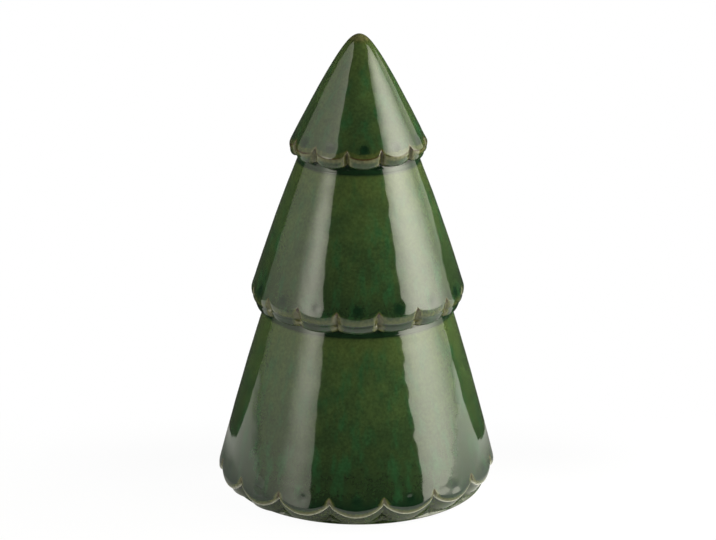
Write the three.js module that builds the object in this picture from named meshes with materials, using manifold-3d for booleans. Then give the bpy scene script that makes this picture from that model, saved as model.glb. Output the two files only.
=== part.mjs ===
// A glazed stoneware fir tree: three hollow cast tiers luted one on another, on four felt pads.
// Millimetres, +Z up. The origin is on the table, under the tip, and the front faces -Y.
// Each tier is made from its own seat upwards, and is set at its level at the end.
import * as THREE from "three";
import { mergeVertices } from "three/addons/utils/BufferGeometryUtils.js";
import Module from "manifold-3d";

const wasm = await Module();
wasm.setup();

// What is stacked, from the table up
const PAD_THICKNESS = 1;
const BOTTOM_HEIGHT = 79.25;
const MIDDLE_HEIGHT = 65.75;
const TOP_HEIGHT = 52.5;
const SLIP_THICKNESS = 0.75; // of the clay that joins two tiers

// Widest radius of each cone, and how high above its seat the side turns in below that
const BOTTOM_SKIRT_RADIUS = 60.7;
const MIDDLE_SKIRT_RADIUS = 46;
const TOP_SKIRT_RADIUS = 29.5;
const BOTTOM_TURN_HEIGHT = 9.7;
const MIDDLE_TURN_HEIGHT = 8.2;
const TOP_TURN_HEIGHT = 5.5;

// The ring that shows below the petals, where it meets the table or the tier below
const FOOT_RADIUS = 55.8;
const MIDDLE_LIP_RADIUS = 42.3;
const TOP_LIP_RADIUS = 27;
const LOWER_OVERHANG = 1.75; // how far the middle tier's lip stands past the shoulder below it
const UPPER_OVERHANG = 1.25; // the same, of the top tier

// How far a cone's side swells out past a straight line, and the curve of the tip
const BOTTOM_BOW = 0.5;
const MIDDLE_BOW = 0.65;
const TIP_CURVE_RADIUS = 3.8;

// Petals laid over the foot of each cone
const BOTTOM_PETALS = 16;
const MIDDLE_PETALS = 16;
const TOP_PETALS = 12;
const TOP_PETAL_TURN = 5; // degrees by which the top tier's petals are turned from the front
const BOTTOM_PETAL_BASE = 4.5; // height of a petal's lowest point above its tier's seat
const MIDDLE_PETAL_BASE = 2.3;
const TOP_PETAL_BASE = 1.5;
const BOTTOM_PETAL_DEPTH = 6.25; // from that point up to the notch between two petals
const MIDDLE_PETAL_DEPTH = 6.7;
const TOP_PETAL_DEPTH = 6;
const PETAL_FULLNESS = 0.9; // 1 is a parabola's outline, less is blunter
const PETAL_THICKNESS = 1.4;
const PETAL_EDGE = 0.8; // rounding along a petal's lower edge
const NICK_DEPTH = 0.9; // of the nick that is cut upwards from each notch
const NICK_HEIGHT = 4;

// The round dimple pressed into each petal
const BOTTOM_DIMPLE_HEIGHT = 10.5; // above the tier's seat
const MIDDLE_DIMPLE_HEIGHT = 10;
const TOP_DIMPLE_HEIGHT = 8.7;
const DIMPLE_RADIUS = 2;
const DIMPLE_DEPTH = 0.6;

// The cast wall, and what stands and joins on it
const WALL = 5;
const TIP_SOLID = 20; // how far below the tip the walls of the hollow end
const HOLLOW_CAP = 5; // height of the blunt cone that ends the hollow there
const SEAT_WIDTH = 9; // of the flat ring on which two tiers meet
const FOOT_WIDTH = 10;
const SLIP_INSET = 1.2; // how far the slip stops short of both edges of that ring
const RIM_ROUNDING = 0.8; // of each tier's lower and upper rim
const PAD_DIAMETER = 6;
const PAD_INSET = 3.3; // how far the pads stop short of the foot's outer edge, which hides them
const PAD_NAMES = ["front_right", "back_right", "back_left", "front_left"];

// Where the columns of a tier's mesh lie across a petal, from the notch at -0.5 to the next one
const PETAL_COLUMNS = [-0.5, -0.44, -0.28, -0.1, 0, 0.1, 0.28, 0.44];
// Where its rows lie: up the ring to the petals' edge, and up the plain side or to the tip
const RING_ROWS = [0, 0.5, 0.98];
const SIDE_ROWS = [0.33, 0.67, 1];
const TIP_ROWS = [0.25, 0.5, 0.7, 0.84, 0.93, 0.98];
// A petal's rounded edge: how far up the rounding a row lies, and how far in through the petal
const EDGE_ROWS = [
  [0, 0.45],
  [0.4, 0.12],
];
const PLAIN_MARGIN = 1; // of plain side kept above the dimples before the rows spread out
const SMOOTH_SEGMENTS = 48;
const PAD_SEGMENTS = 24;
const PAST_FACE = 1; // how far a cut runs past the face that it opens

const GLAZE = new THREE.MeshStandardMaterial({ color: 0x2f4f2a, roughness: 0.12, metalness: 0 });
const CLAY = new THREE.MeshStandardMaterial({ color: 0xb9a88c, roughness: 0.9, metalness: 0 });
const FELT = new THREE.MeshStandardMaterial({ color: 0x3b3a38, roughness: 1, metalness: 0 });

// Levels are rounded to 1/64 mm, which 32-bit numbers hold exactly, so that stacked faces touch.
const level = (z) => Math.round(z * 64) / 64;

const mix = (from, to, part) => from + (to - from) * part;

// How full a petal is across its width: 1 on its middle line, 0 at the notch beside it.
const fullness = (across) => Math.max(1 - 4 * across * across, 0) ** PETAL_FULLNESS;

// The lower edge of the petals.
const petalEdge = (tier, across) => tier.petalBase + tier.petalDepth * (1 - fullness(across));

// The side above the turn: a slightly swollen cone.
function coneRadius(tier, z) {
  const down = (tier.height - z) / (tier.height - tier.turnHeight);
  return mix(tier.neckRadius, tier.skirtRadius, down) + tier.bow * 4 * down * (1 - down);
}

// The side of the top tier: a cone whose tip is rounded to a radius of its own.
function tippedRadius(tier, z) {
  const below = (h) => 2 * TIP_CURVE_RADIUS * h;
  const full = tier.height - tier.turnHeight;
  const slope = (tier.skirtRadius ** 2 - below(full)) / full ** 2;
  const h = Math.max(tier.height - z, 0);
  return Math.sqrt(slope * h * h + below(h));
}

// The petals' outer face: the side, then curling in below the turn. The ring under the petals
// lies one petal's thickness in from it.
function faceRadius(tier, z) {
  if (z >= tier.turnHeight) return tier.side(tier, z);
  const curl = (1 - z / tier.turnHeight) ** 2;
  return mix(tier.skirtRadius, tier.lipRadius + PETAL_THICKNESS, curl);
}

// How deep the pressed marks go: a nick above each notch, and a dimple in each petal.
function nickDepth(tier, across, z) {
  const above = z - (tier.petalBase + tier.petalDepth);
  return Math.abs(across) === 0.5 ? NICK_DEPTH * Math.max(1 - above / NICK_HEIGHT, 0) : 0;
}

function dimpleDepth(tier, across, z) {
  const sideways = (across * 2 * Math.PI * tier.skirtRadius) / tier.petals;
  const away = Math.hypot(sideways, z - tier.dimpleHeight);
  return DIMPLE_DEPTH * Math.max(1 - away / DIMPLE_RADIUS, 0);
}

const pressedRadius = (tier, across, z) =>
  faceRadius(tier, z) - nickDepth(tier, across, z) - dimpleDepth(tier, across, z);

// Each row of a mesh gives [radius, height] at a place across one petal. These rows run
// from the seat up the ring, out round the petals' edge and up over their pressed marks.
function petalRows(tier) {
  const lowest = tier.petalBase + PETAL_EDGE;
  const highest = petalTop(tier);
  // A height on the petal's middle line, moved up towards the notches as the edge is.
  const follow = (across, z) => {
    const start = petalEdge(tier, across) + PETAL_EDGE;
    return mix(start, highest, (z - lowest) / (highest - lowest));
  };
  const faceRow = (z) => (across) => {
    const at = follow(across, z);
    return [pressedRadius(tier, across, at), at];
  };
  const ringRow = (part) => (across) => {
    const z = mix(RIM_ROUNDING, petalEdge(tier, across), part);
    return [faceRadius(tier, z) - PETAL_THICKNESS, z];
  };
  const edgeRow = ([up, inward]) => (across) => {
    const z = petalEdge(tier, across) + PETAL_EDGE * up;
    return [faceRadius(tier, z) - PETAL_THICKNESS * inward, z];
  };
  return [
    () => [tier.lipRadius - RIM_ROUNDING, 0],
    ...RING_ROWS.map(ringRow),
    ...EDGE_ROWS.map(edgeRow),
    faceRow(lowest),
    faceRow(mix(lowest, tier.dimpleHeight - DIMPLE_RADIUS, 0.5)),
    faceRow(tier.dimpleHeight - DIMPLE_RADIUS),
    faceRow(tier.dimpleHeight),
    faceRow(tier.dimpleHeight + DIMPLE_RADIUS),
    faceRow(highest),
  ];
}

// Where the pressed marks end and the plain side begins.
function petalTop(tier) {
  const nickTop = tier.petalBase + tier.petalDepth + NICK_HEIGHT;
  return Math.max(nickTop, tier.dimpleHeight + DIMPLE_RADIUS + PLAIN_MARGIN);
}

// Rows of the plain side, at the given parts of the way up from the petals.
function sideRows(tier, upTo, parts) {
  return parts.map((part) => {
    const z = mix(petalTop(tier), upTo, part);
    return () => [tier.side(tier, z), z];
  });
}

function shoulderRows(tier) {
  return [
    ...sideRows(tier, tier.height - RIM_ROUNDING, SIDE_ROWS),
    () => [tier.neckRadius - RIM_ROUNDING, tier.height],
  ];
}

// Joins rows of points around the axis, closed by a centre point below and above.
function roundSolid(tier, rows) {
  const across = PETAL_COLUMNS.length;
  const columns = tier.petals * across;
  const points = [];
  rows.forEach((row) => {
    for (let c = 0; c < columns; c += 1) {
      const [radius, z] = row(PETAL_COLUMNS[c % across]);
      const petal = Math.floor(c / across) + PETAL_COLUMNS[c % across];
      const angle = (petal / tier.petals) * 2 * Math.PI + tier.petalTurn - Math.PI / 2;
      points.push(radius * Math.cos(angle), radius * Math.sin(angle), z);
    }
  });
  const below = points.length / 3;
  const above = below + 1;
  points.push(0, 0, 0, 0, 0, tier.height);
  const faces = [];
  for (let c = 0; c < columns; c += 1) {
    const next = (c + 1) % columns;
    faces.push(below, next, c);
    for (let r = 0; r + 1 < rows.length; r += 1) {
      const a = r * columns + c;
      const b = r * columns + next;
      faces.push(a, b, b + columns, a, b + columns, a + columns);
    }
    const last = (rows.length - 1) * columns;
    faces.push(above, last + c, last + next);
  }
  const geometry = new THREE.BufferGeometry();
  geometry.setAttribute("position", new THREE.Float32BufferAttribute(points, 3));
  geometry.setIndex(faces);
  return geometry;
}

// A turned solid about +Z, from [radius, height] pairs that start and end on the axis.
function turned(profile) {
  const outline = profile.map(([radius, height]) => new THREE.Vector2(radius, height));
  return new THREE.LatheGeometry(outline, SMOOTH_SEGMENTS).rotateX(Math.PI / 2);
}

function toSolid(geometry) {
  const bare = new THREE.BufferGeometry();
  bare.setAttribute("position", geometry.getAttribute("position"));
  bare.setIndex(geometry.index);
  const merged = mergeVertices(bare, 1e-4);
  const mesh = new wasm.Mesh({
    numProp: 3,
    vertProperties: merged.attributes.position.array,
    triVerts: new Uint32Array(merged.index.array),
  });
  return new wasm.Manifold(mesh);
}

function hollowed(outside, cavity) {
  const mesh = toSolid(outside).subtract(toSolid(cavity)).getMesh();
  const geometry = new THREE.BufferGeometry();
  geometry.setAttribute("position", new THREE.BufferAttribute(mesh.vertProperties, 3));
  geometry.setIndex(new THREE.BufferAttribute(mesh.triVerts, 1));
  return geometry;
}

function namedMesh(name, geometry, material, z) {
  geometry.computeVertexNormals();
  const mesh = new THREE.Mesh(geometry, material);
  mesh.name = name;
  mesh.position.z = z;
  return mesh;
}

// The hollow inside a tier: a bore up through the seat, the room within the wall, and a bore
// out through the shoulder. Both bores let the kiln's air through the joined tiers.
function insideProfile(tier, heights) {
  return heights.map((z) => [tier.side(tier, z) - PETAL_THICKNESS - WALL, z]);
}

function hollowProfile(tier, openBelow, openAbove) {
  const roof = tier.height - WALL;
  const start = WALL + tier.petalDepth;
  return [
    [0, -PAST_FACE],
    [openBelow, -PAST_FACE],
    [openBelow, WALL],
    ...insideProfile(tier, [start, mix(start, roof, 0.5), roof]),
    [openAbove, roof],
    [openAbove, tier.height + PAST_FACE],
    [0, tier.height + PAST_FACE],
  ];
}

const lowerShoulder = MIDDLE_LIP_RADIUS - LOWER_OVERHANG;
const upperShoulder = TOP_LIP_RADIUS - UPPER_OVERHANG;
const lowerBore = lowerShoulder - SEAT_WIDTH;
const upperBore = upperShoulder - SEAT_WIDTH;

const bottom = {
  height: level(BOTTOM_HEIGHT),
  turnHeight: BOTTOM_TURN_HEIGHT,
  skirtRadius: BOTTOM_SKIRT_RADIUS,
  neckRadius: lowerShoulder,
  lipRadius: FOOT_RADIUS,
  bow: BOTTOM_BOW,
  side: coneRadius,
  petals: BOTTOM_PETALS,
  petalTurn: 0,
  petalBase: BOTTOM_PETAL_BASE,
  petalDepth: BOTTOM_PETAL_DEPTH,
  dimpleHeight: BOTTOM_DIMPLE_HEIGHT,
};

const middle = {
  height: level(MIDDLE_HEIGHT),
  turnHeight: MIDDLE_TURN_HEIGHT,
  skirtRadius: MIDDLE_SKIRT_RADIUS,
  neckRadius: upperShoulder,
  lipRadius: MIDDLE_LIP_RADIUS,
  bow: MIDDLE_BOW,
  side: coneRadius,
  petals: MIDDLE_PETALS,
  petalTurn: 0,
  petalBase: MIDDLE_PETAL_BASE,
  petalDepth: MIDDLE_PETAL_DEPTH,
  dimpleHeight: MIDDLE_DIMPLE_HEIGHT,
};

const top = {
  height: level(TOP_HEIGHT),
  turnHeight: TOP_TURN_HEIGHT,
  skirtRadius: TOP_SKIRT_RADIUS,
  lipRadius: TOP_LIP_RADIUS,
  side: tippedRadius,
  petals: TOP_PETALS,
  petalTurn: THREE.MathUtils.degToRad(TOP_PETAL_TURN),
  petalBase: TOP_PETAL_BASE,
  petalDepth: TOP_PETAL_DEPTH,
  dimpleHeight: TOP_DIMPLE_HEIGHT,
};

// The lowest tier is open below, within a foot that is wider than the wall.
function bottomTier() {
  const outside = roundSolid(bottom, [...petalRows(bottom), ...shoulderRows(bottom)]);
  return hollowed(outside, turned(hollowProfile(bottom, FOOT_RADIUS - FOOT_WIDTH, lowerBore)));
}

function middleTier() {
  const outside = roundSolid(middle, [...petalRows(middle), ...shoulderRows(middle)]);
  return hollowed(outside, turned(hollowProfile(middle, lowerBore, upperBore)));
}

// The top tier is closed: its hollow ends in a blunt cone, well below the tip.
function topTier() {
  const outside = roundSolid(top, [...petalRows(top), ...sideRows(top, top.height, TIP_ROWS)]);
  const start = WALL + top.petalDepth;
  const end = top.height - TIP_SOLID;
  const profile = [
    [0, -PAST_FACE],
    [upperBore, -PAST_FACE],
    [upperBore, WALL],
    ...insideProfile(top, [start, mix(start, end, 0.5), end]),
    [0, end + HOLLOW_CAP],
  ];
  return hollowed(outside, turned(profile));
}

// Fired clay slip between two flat seats: what holds one tier on the other.
function slipRing(shoulderRadius, boreRadius) {
  const ring = new THREE.Shape().absarc(0, 0, shoulderRadius - RIM_ROUNDING - SLIP_INSET, 0, 2 * Math.PI);
  ring.holes.push(new THREE.Path().absarc(0, 0, boreRadius + SLIP_INSET, 0, 2 * Math.PI));
  return new THREE.ExtrudeGeometry(ring, {
    depth: level(SLIP_THICKNESS),
    bevelEnabled: false,
    curveSegments: SMOOTH_SEGMENTS / 2,
  });
}

function feltPad() {
  const disc = new THREE.Shape().absarc(0, 0, PAD_DIAMETER / 2, 0, 2 * Math.PI);
  return new THREE.ExtrudeGeometry(disc, {
    depth: level(PAD_THICKNESS),
    bevelEnabled: false,
    curveSegments: PAD_SEGMENTS / 2,
  });
}

// The pads are stuck under the foot, a quarter turn apart.
function feltPads() {
  const padCircle = FOOT_RADIUS - PAD_INSET - PAD_DIAMETER / 2;
  return PAD_NAMES.map((place, i) => {
    const angle = -Math.PI / 4 + (i * 2 * Math.PI) / PAD_NAMES.length;
    const pad = namedMesh(`felt_pad_${place}`, feltPad(), FELT, 0);
    pad.position.x = padCircle * Math.cos(angle);
    pad.position.y = padCircle * Math.sin(angle);
    return pad;
  });
}

const footLevel = level(PAD_THICKNESS);
const lowerSeat = footLevel + bottom.height;
const middleLevel = lowerSeat + level(SLIP_THICKNESS);
const upperSeat = middleLevel + middle.height;
const topLevel = upperSeat + level(SLIP_THICKNESS);

const tree = new THREE.Group();
tree.name = "stoneware_fir_tree";
tree.add(...feltPads());
tree.add(namedMesh("bottom_tier", bottomTier(), GLAZE, footLevel));
tree.add(namedMesh("lower_slip_joint", slipRing(lowerShoulder, lowerBore), CLAY, lowerSeat));
tree.add(namedMesh("middle_tier", middleTier(), GLAZE, middleLevel));
tree.add(namedMesh("upper_slip_joint", slipRing(upperShoulder, upperBore), CLAY, upperSeat));
tree.add(namedMesh("top_tier", topTier(), GLAZE, topLevel));

export default tree;
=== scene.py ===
# A glazed stoneware fir tree: three hollow cast tiers with scalloped petals, luted one on another.
# The tree's sizes are in millimetres and the studio's in metres, and every mesh is in metres.
import math

import bpy
from mathutils import Matrix, Vector


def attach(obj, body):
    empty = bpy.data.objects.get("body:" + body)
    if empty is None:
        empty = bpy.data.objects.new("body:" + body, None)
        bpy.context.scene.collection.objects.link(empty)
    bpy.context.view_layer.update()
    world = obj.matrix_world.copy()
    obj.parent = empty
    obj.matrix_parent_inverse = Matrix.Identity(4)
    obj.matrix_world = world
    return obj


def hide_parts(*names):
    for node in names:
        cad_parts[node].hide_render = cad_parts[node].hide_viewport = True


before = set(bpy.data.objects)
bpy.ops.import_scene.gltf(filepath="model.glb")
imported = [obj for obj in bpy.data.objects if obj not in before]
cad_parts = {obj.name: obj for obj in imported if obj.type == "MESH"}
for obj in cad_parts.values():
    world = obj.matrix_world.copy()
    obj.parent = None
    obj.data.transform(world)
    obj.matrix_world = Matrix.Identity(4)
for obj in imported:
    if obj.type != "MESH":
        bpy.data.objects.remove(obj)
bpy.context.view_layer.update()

MM = 0.001

# Stacking, from the table up
PAD_THICKNESS = 1.0
SLIP_THICKNESS = 0.75
BOTTOM_LEVEL = PAD_THICKNESS
MIDDLE_LEVEL = 81.0
TOP_LEVEL = 147.5

# The cast wall, and what stands and joins on it
WALL = 5.0
SLIP_INSET = 1.2
RIM_ROUNDING = 0.8
TIP_SOLID = 20.0
HOLLOW_CAP = 5.0

# Petals and pressed marks, alike on every tier
PETAL_THICKNESS = 1.4
NICK_TIP = 0.35
DIMPLE_RADIUS = 2.4
DIMPLE_DEPTH = 0.07
DISH_RADIUS = 4.6
DISH_DEPTH = 0.1
TIP_GAP = 0.02

# Cusps: the slit's flat floor as a share of its width, how it fades out at its foot, how the thin
# glaze spreads from the cusp downwards, and how wide the slit burns brown
NICK_FLAT = 0.35
NICK_FOOT = (-0.4, 0.9)
CUSP_FADE = 0.8
HALO_SPREAD = 1.1
HALO_TOP = 1.1
HALO_LEAST = 0.4
HALO_WIDTH = 4.2
HALO_THIN = 1.3
BURN_WIDTH = 1.3

# Hand work: the petals' drift up and down, and waves that die out below the shoulder
DRIFT = 0.22
WAVE_DEPTH = 0.26
WAVE_SIZE = 11.0
WAVE_FREE = (1.0, 6.0)

# Rows of the section lie closer together up to here above the arris, and columns at the notches
ARRIS_REACH = 0.6
BAND_STEP = 0.28
CROWDING = 0.6

# The ring under a hanging tier starts this far up, and slip spreads this far over each seat's edge
RING_STEP = 0.1
SLIP_SPREAD = 0.6
SLIP_ROUNDING = 0.02

PAD_DIAMETER = 6.0
PAD_CIRCLE = 49.5
PAD_NAMES = ("front_right", "back_right", "back_left", "front_left")

# Heights are above each tier's own seat, in the middle of a petal. At the notches the lip lies
# lip_rise higher and the arris, where the face turns in, arris_rise higher. A fullness of 0.5
# makes round lobes, and 1 plain arcs. The nick runs up from the notch to the cusp. Thin and the
# pooling column give how worn and how thick the glaze lies, at heights on the petal, and the
# pooling column also paints shade under the middle tier's petal edge. A groove is its height,
# depth and half width.
BOTTOM = {
    "height": 79.25, "turn": 7.8, "neck": 40.55, "skirt": 60.62, "lip": 55.8, "bow": 0.5,
    "petals": 16, "petal_turn": 0.0, "fullness": 0.9, "lip_height": 4.35, "lip_rise": 5.4,
    "arris_rise": 3.2, "roll": (1.7, 0.85), "overhang": 1.4, "line": 0.0, "groove": (0.0, 0.0, 1.0),
    "thin": ((5.4, 1.0), (6.2, 0.65), (6.7, 0.3), (7.2, 0.0)),
    "pooled_and_shaded": ((6.8, 0.0), (7.4, 0.9), (9.5, 0.5), (13.5, 0.0)),
    "cusp": 13.2, "nick_wide": 1.1, "nick_long": 3.2, "nick_depth": 0.7, "nick_floor": -5.0,
    "dimple": 11.9, "bore_below": 45.8, "bore_above": 31.55, "level": BOTTOM_LEVEL,
    "turn_rounding": 0.8, "tilt": 1.25, "hollow": 11.25, "burn": 3.4, "seed": 3,
}
MIDDLE = {
    "height": 65.75, "turn": 8.2, "neck": 25.75, "skirt": 46.0, "lip": 42.3, "bow": 0.65,
    "petals": 16, "petal_turn": 0.0, "fullness": 0.5, "lip_height": 1.0, "lip_rise": 1.3,
    "arris_rise": 2.6, "roll": (1.5, 0.9), "overhang": 1.4, "line": 0.3, "groove": (4.7, 0.35, 0.5),
    "thin": ((1.4, 0.0), (4.6, 0.0), (5.2, 0.45), (6.0, 0.6), (7.1, 0.35), (8.1, 0.2),
             (9.4, 0.0)),
    # On the middle tier the dark teal on the roll under the petals' edge and in the groove at 4.7 mm
    # is pooling glaze and painted shade
    "pooled_and_shaded": ((1.2, 0.5), (4.2, 0.45), (4.7, 0.6), (5.1, 0.0), (8.2, 0.0), (9.4, 0.4),
               (11.0, 0.2), (13.5, 0.0)),
    "cusp": 10.7, "nick_wide": 2.0, "nick_long": 3.4, "nick_depth": 0.8, "nick_floor": 4.2,
    "dimple": 11.4, "bore_below": 31.55, "bore_above": 16.75, "level": MIDDLE_LEVEL,
    "turn_rounding": 0.8, "tilt": 0.35, "hollow": 11.7, "burn": 2.6, "seed": 8,
}
TOP = {
    "height": 52.5, "turn": 5.9, "neck": 0.0, "skirt": 29.5, "lip": 27.0, "tip_curve": 3.8,
    "petals": 12, "petal_turn": 5.0, "fullness": 0.5, "lip_height": 1.1, "lip_rise": 2.2,
    "arris_rise": 2.8, "roll": (1.5, 0.9), "overhang": 1.3, "line": 0.8, "groove": (3.6, 0.1, 0.5),
    "thin": ((1.6, 0.1), (3.6, 0.15), (4.4, 0.8), (5.2, 0.95), (6.0, 0.6), (7.4, 0.5),
             (8.4, 0.0)),
    "pooled_and_shaded": ((8.0, 0.0), (9.0, 0.1), (12.0, 0.0)),
    "cusp": 9.3, "nick_wide": 1.4, "nick_long": 3.0, "nick_depth": 0.8, "nick_floor": -5.0,
    "dimple": 9.4, "bore_below": 16.75, "bore_above": 0.0, "level": TOP_LEVEL,
    "turn_rounding": 0.8, "tilt": 0.2, "hollow": 11.0, "burn": 3.4, "seed": 5,
}


# Kinds of node, and two settings that many of them share
MATH = "ShaderNodeMath"
VECTOR = "ShaderNodeVectorMath"
JOIN = "ShaderNodeCombineXYZ"
RAMP = "ShaderNodeMapRange"
MIX = "ShaderNodeMix"
NOISE = "ShaderNodeTexNoise"
SMOOTH = {"interpolation_type": "SMOOTHSTEP"}
COLOUR = {"data_type": "RGBA"}


def add(tree, kind, inputs=(), **settings):
    """Adds a node with its settings. Inputs are values, nodes or sockets, by place or by name."""
    node = tree.nodes.new(kind)
    for name, value in settings.items():
        setattr(node, name, value)
    pairs = inputs.items() if isinstance(inputs, dict) else enumerate(inputs)
    for key, value in pairs:
        socket = node.inputs[key]
        if isinstance(value, bpy.types.Node):
            value = value.outputs[0]
        if isinstance(value, bpy.types.NodeSocket):
            tree.links.new(value, socket)
        elif value is not None:
            socket.default_value = value
    return node


def linear(hex_colour):
    """An sRGB hex colour as linear red, green, blue and full alpha."""
    parts = [int(hex_colour[i : i + 2], 16) / 255 for i in (1, 3, 5)]
    return (*[p / 12.92 if p <= 0.04045 else ((p + 0.055) / 1.055) ** 2.4 for p in parts], 1.0)


def placed(name, data):
    """A new object in the scene that shows the data."""
    piece = bpy.data.objects.new(name, data)
    bpy.context.scene.collection.objects.link(piece)
    return piece


# Camera: its place in metres, its turns in degrees and its lens in millimetres
CAMERA_PLACE = (0.0, -1.0489, 0.4396)
CAMERA_PITCH = 71.86
CAMERA_ROLL = 0.32
LENS = 128.84
SENSOR = 36.0


def make_camera():
    """The photograph's view: 1.14 m away, 18 degrees down, long lens, rolled a third of a degree."""
    data = bpy.data.cameras.new("camera")
    data.lens = LENS
    data.sensor_width = SENSOR
    data.clip_start, data.clip_end = 0.05, 20.0
    camera = placed("camera", data)
    pitch = Matrix.Rotation(math.radians(CAMERA_PITCH), 4, "X")
    roll = Matrix.Rotation(math.radians(CAMERA_ROLL), 4, "Z")
    camera.matrix_world = Matrix.Translation(CAMERA_PLACE) @ pitch @ roll
    bpy.context.scene.camera = camera


# The section of a tier
def side_terms(tier):
    """Swell and spread of the side, so that radius^2 = neck^2 + swell * drop + spread * drop^2."""
    full = tier["height"] - tier["turn"]
    if "tip_curve" in tier:
        swell = 2 * tier["tip_curve"]
        return swell, (tier["skirt"] ** 2 - swell * full) / full**2
    half_way = ((tier["neck"] + tier["skirt"]) / 2 + tier["bow"]) ** 2 - tier["neck"] ** 2
    whole_way = tier["skirt"] ** 2 - tier["neck"] ** 2
    return (4 * half_way - whole_way) / full, (2 * whole_way - 4 * half_way) / full**2


def side_radius(tier, z):
    swell, spread = side_terms(tier)
    drop = tier["height"] - max(z, tier["turn"])
    curl = max(1 - z / tier["turn"], 0) ** 2
    side = math.sqrt(tier["neck"] ** 2 + swell * drop + spread * drop * drop)
    return side - (tier["skirt"] - tier["lip"] - PETAL_THICKNESS) * curl


def steps(count, start=0.0, end=1.0):
    """Evenly spaced values from start up to, but without, the end."""
    return [start + (end - start) * i / count for i in range(count)]


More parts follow.
